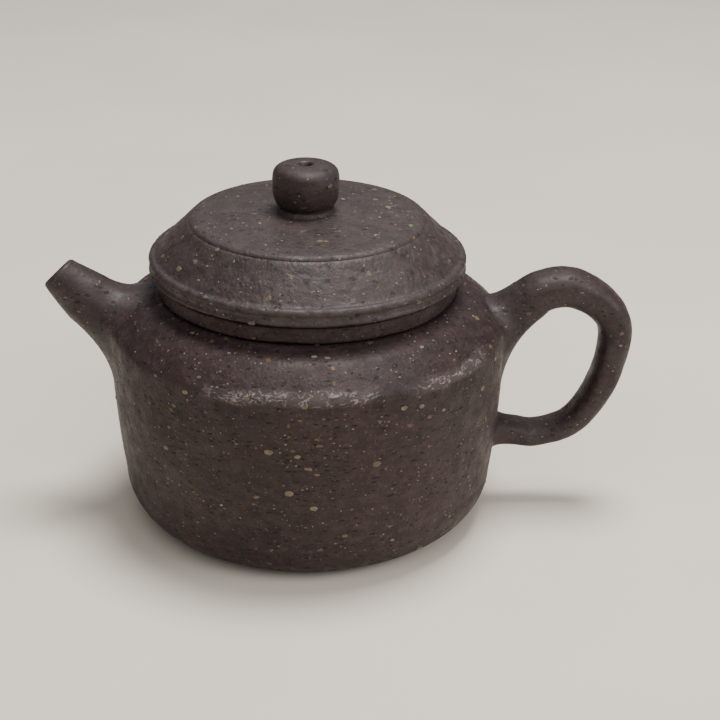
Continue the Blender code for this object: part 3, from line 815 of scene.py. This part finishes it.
def build_scatter_tree():
    tree, take, give = start_tree("Scattered grains", "GeometryNodeTree", [
        ("Surface", "NodeSocketGeometry", None), ("Density", "NodeSocketFloat", 10000.0),
        ("Smallest", "NodeSocketFloat", 0.0003), ("Largest", "NodeSocketFloat", 0.0008),
        ("Seed", "NodeSocketInt", 1), ("Grain", "NodeSocketMaterial", None),
    ], [("Grains", "NodeSocketGeometry")])
    spread = node(tree, "GeometryNodeDistributePointsOnFaces", {"Mesh": take["Surface"],
                  "Density": take["Density"], "Seed": take["Seed"]})
    outward = vector_calc(tree, "MULTIPLY", node(tree, "GeometryNodeInputPosition", {}).outputs[0],
                          (1.0, 1.0, 0.0))
    normal = node(tree, "GeometryNodeInputNormal", {}).outputs[0]
    facing = node(tree, "ShaderNodeVectorMath", {0: normal, 1: outward}, operation="DOT_PRODUCT")
    up = node(tree, "ShaderNodeSeparateXYZ", {0: normal}).outputs[2]
    keep = calc(tree, "MAXIMUM", calc(tree, "GREATER_THAN", facing.outputs["Value"], 0.004),
                calc(tree, "GREATER_THAN", up, 0.5))
    tree.links.new(keep, spread.inputs["Selection"])
    pebble = node(tree, "GeometryNodeMeshIcoSphere", {"Radius": 1.0, "Subdivisions": 1})
    chance = node(tree, "FunctionNodeRandomValue", {"Seed": take["Seed"]},
                  data_type="FLOAT").outputs[1]
    size = calc(tree, "MULTIPLY_ADD", calc(tree, "POWER", chance, 3.0),
                calc(tree, "SUBTRACT", take["Largest"], take["Smallest"]), take["Smallest"])
    flat = scaled(tree, node(tree, "ShaderNodeCombineXYZ", dict(enumerate(CHIP_SHAPE))).outputs[0],
                  calc(tree, "MULTIPLY", size, 0.5))
    placed = node(tree, "GeometryNodeInstanceOnPoints", {"Points": spread.outputs["Points"],
                  "Instance": pebble.outputs[0], "Rotation": spread.outputs["Rotation"], "Scale": flat})
    sink = node(tree, "GeometryNodeTranslateInstances", {"Instances": placed.outputs[0],
                "Translation": (0.0, 0.0, -CHIP_SINK)})
    real = node(tree, "GeometryNodeRealizeInstances", {0: sink.outputs[0]})
    here = node(tree, "GeometryNodeInputPosition", {}).outputs[0]
    ragged = node(tree, "ShaderNodeTexNoise", {"Vector": here, "Scale": 1900.0, "Detail": 2.0})
    swing = vector_calc(tree, "SUBTRACT", ragged.outputs["Color"], (0.5, 0.5, 0.5))
    shove = scaled(tree, swing, CHIP_RAGGEDNESS)
    bent = node(tree, "GeometryNodeSetPosition", {"Geometry": real.outputs[0], "Offset": shove})
    clothed = node(tree, "GeometryNodeSetMaterial", {"Geometry": bent.outputs[0],
                   "Material": take["Grain"]})
    tree.links.new(clothed.outputs[0], give["Grains"])
    return tree


SCATTER = build_scatter_tree()


# %% Grain stone
def make_grain(name, first, second):
    """A dull grain whose colour changes from one grain to the next."""
    material = bpy.data.materials.new(name)
    material.use_nodes = True
    tree = material.node_tree
    shader = tree.nodes["Principled BSDF"]
    shader.inputs["Roughness"].default_value = 0.7
    place = node(tree, "ShaderNodeTexCoord", {}).outputs["Object"]
    cells = node(tree, "ShaderNodeTexVoronoi", {"Vector": place, "Scale": 420.0})
    pick = node(tree, "ShaderNodeSeparateColor", {0: cells.outputs["Color"]}).outputs[0]
    dusty = remap(tree, fog(tree, place, 1800.0, 3.0), 0.3, 0.7, 0.0, 0.45)
    colour = tint(tree, dusty, tint(tree, pick, first, second), (0.09, 0.066, 0.055, 1.0))
    tree.links.new(colour, shader.inputs["Base Color"])
    return material


TAN_GRAIN = make_grain("tan grain", (0.185, 0.148, 0.085, 1.0), (0.090, 0.062, 0.036, 1.0))
ROSE_GRAIN = make_grain("rose-white grain", (0.245, 0.200, 0.178, 1.0), (0.120, 0.092, 0.080, 1.0))


# %% Scatter the grains
def scatter(name, source, density, smallest, largest, seed, grain):
    """Grains over a copy of a finished piece; density is in grains per square metre."""
    piece = bpy.data.objects.new(name, source.data.copy())
    bpy.context.collection.objects.link(piece)
    modifier = piece.modifiers.new("grains", "NODES")
    modifier.node_group = SCATTER
    set_inputs(modifier, {"Density": density, "Smallest": smallest, "Largest": largest, "Seed": seed,
                          "Grain": grain})
    keep_result(piece, tidy=False)
    print(name, "has", len(piece.data.polygons) // CHIP_FACES, "grains")
    return piece


TAN_DENSITY, TAN_SMALLEST, TAN_LARGEST = 12000.0, 0.50 * MM, 2.30 * MM
ROSE_DENSITY, ROSE_SMALLEST, ROSE_LARGEST = 30000.0, 0.24 * MM, 0.85 * MM
COVER = (("wall", wall_piece, 1.0, 11), ("shoulder", shoulder_piece, 0.8, 21),
         ("cone", lid_ring_piece, 0.9, 31), ("top", disc_piece, 0.7, 41),
         ("handle", handle_piece, 0.45, 51), ("spout", spout_piece, 0.45, 61))
scattered = {}
for label, source, amount, seed in COVER:
    tan = scatter("tan_grains_" + label, source, TAN_DENSITY * amount, TAN_SMALLEST, TAN_LARGEST,
                  seed, TAN_GRAIN)
    rose = scatter("rose_grains_" + label, source, ROSE_DENSITY * amount, ROSE_SMALLEST,
                   ROSE_LARGEST, seed + 1, ROSE_GRAIN)
    scattered[label] = (tan, rose)


# %% [markdown]
# ## The strainer
# Behind the spout's hole a pierced cap holds back the leaves. It can't be seen from outside, so the
# model's own shape stays and only gets its clay.

# %% Strainer clay
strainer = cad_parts["spout_strainer"]
strainer.data.materials.clear()
strainer.data.materials.append(INSIDE_CLAY)
print("strainer keeps its", len(strainer.data.polygons), "faces")


# %% [markdown]
# ## Who moves with what
# The pot stands still. The collar lifts, and the lid, which sits on it, can also turn.

# %% Rides
RIDES = (
    (floor_piece, "pot", "base_disc", "body_clay"), (wall_piece, "pot", "body_wall", "body_clay"),
    (shoulder_piece, "pot", "shoulder_disc", "body_clay"), (neck_piece, "pot", "neck_ring", "body_clay"),
    (mouth_ring_piece, "pot", "mouth_ring", "body_clay"), (spout_piece, "pot", "spout", "limb_clay"),
    (handle_piece, "pot", "handle", "limb_clay"),
    (collar_piece, "lid_collar_body", "lid_collar", "inner_clay"),
    (lid_ring_piece, "lid", "lid_ring", "lid_clay"), (disc_piece, "lid", "lid_disc", "lid_clay"),
    (seat_piece, "lid", "knob_seat", "lid_clay"), (knob_piece, "lid", "knob", "lid_clay"),
)
for piece, body, replaced, slot in RIDES:
    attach(piece, body)
    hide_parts(replaced)
for label, pieces in scattered.items():
    for piece in pieces:
        on_lid = label in ("cone", "top")
        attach(piece, "lid" if on_lid else "pot")
print("pieces riding:", len(RIDES) + 2 * len(scattered))


# %% [markdown]
# ## Floor, light and camera
# A pale board and broad soft lights, with the strongest overhead, a little
# behind the pot and to its right.

# %% Floor
floor_mesh = new_piece("table", [(-3.0, -3.0, 0.0), (3.0, -3.0, 0.0), (3.0, 3.0, 0.0), (-3.0, 3.0, 0.0)],
                       [(0, 1, 2, 3)])
board = bpy.data.materials.new("pale board")
board.use_nodes = True
board_tree = board.node_tree
board_place = node(board_tree, "ShaderNodeTexCoord", {}).outputs["Object"]
board_tone = tint(board_tree, remap(board_tree, fog(board_tree, board_place, 9.0, 3.0), 0.3, 0.7),
                  (0.70, 0.645, 0.555, 1.0), (0.75, 0.69, 0.60, 1.0))
board_shader = board_tree.nodes["Principled BSDF"]
board_tree.links.new(board_tone, board_shader.inputs["Base Color"])
board_shader.inputs["Roughness"].default_value = 0.75
floor_mesh.data.materials.append(board)


# %% Lights
def area_light(name, place, aim, size, watts, colour):
    lamp = bpy.data.lights.new(name, "AREA")
    lamp.shape, lamp.size, lamp.energy, lamp.color = "DISK", size, watts, colour
    item = bpy.data.objects.new(name, lamp)
    bpy.context.collection.objects.link(item)
    item.location = place
    item.rotation_euler = (Vector(aim) - Vector(place)).to_track_quat("-Z", "Y").to_euler()


area_light("key", (0.13, 0.10, 1.0), (0.0, 0.0, 0.04), 0.42, 12.7, (1.0, 0.965, 0.93))
area_light("right", (0.75, -0.40, 0.50), (0.0, 0.0, 0.04), 0.50, 4.2, (1.0, 0.97, 0.96))
area_light("front", (0.05, -0.80, 0.85), (0.0, 0.0, 0.04), 1.10, 5.8, (1.0, 0.97, 0.94))
area_light("back", (-0.10, 0.80, 0.70), (0.0, 0.0, 0.05), 0.80, 0.8, (0.99, 0.97, 0.97))
world = bpy.data.worlds.new("room light")
world.use_nodes = True
world.node_tree.nodes["Background"].inputs["Color"].default_value = (0.95, 0.95, 1.0, 1.0)
world.node_tree.nodes["Background"].inputs["Strength"].default_value = 0.19
bpy.context.scene.world = world

# %% Camera
lens = bpy.data.cameras.new("view")
lens.lens, lens.sensor_width = 85.0, 36.0
lens.clip_start = 0.01
camera = bpy.data.objects.new("view", lens)
bpy.context.collection.objects.link(camera)
PITCH, YAW, ROLL = math.radians(24.67), math.radians(1.92), math.radians(0.79)
turned = (Matrix.Rotation(-YAW, 4, "Z") @ Matrix.Rotation(math.pi / 2.0 - PITCH, 4, "X")
          @ Matrix.Rotation(ROLL, 4, "Z"))
camera.matrix_world = Matrix.Translation((0.0, -0.350, 0.196)) @ turned
bpy.context.scene.camera = camera

# %% Finish
bpy.context.view_layer.update()
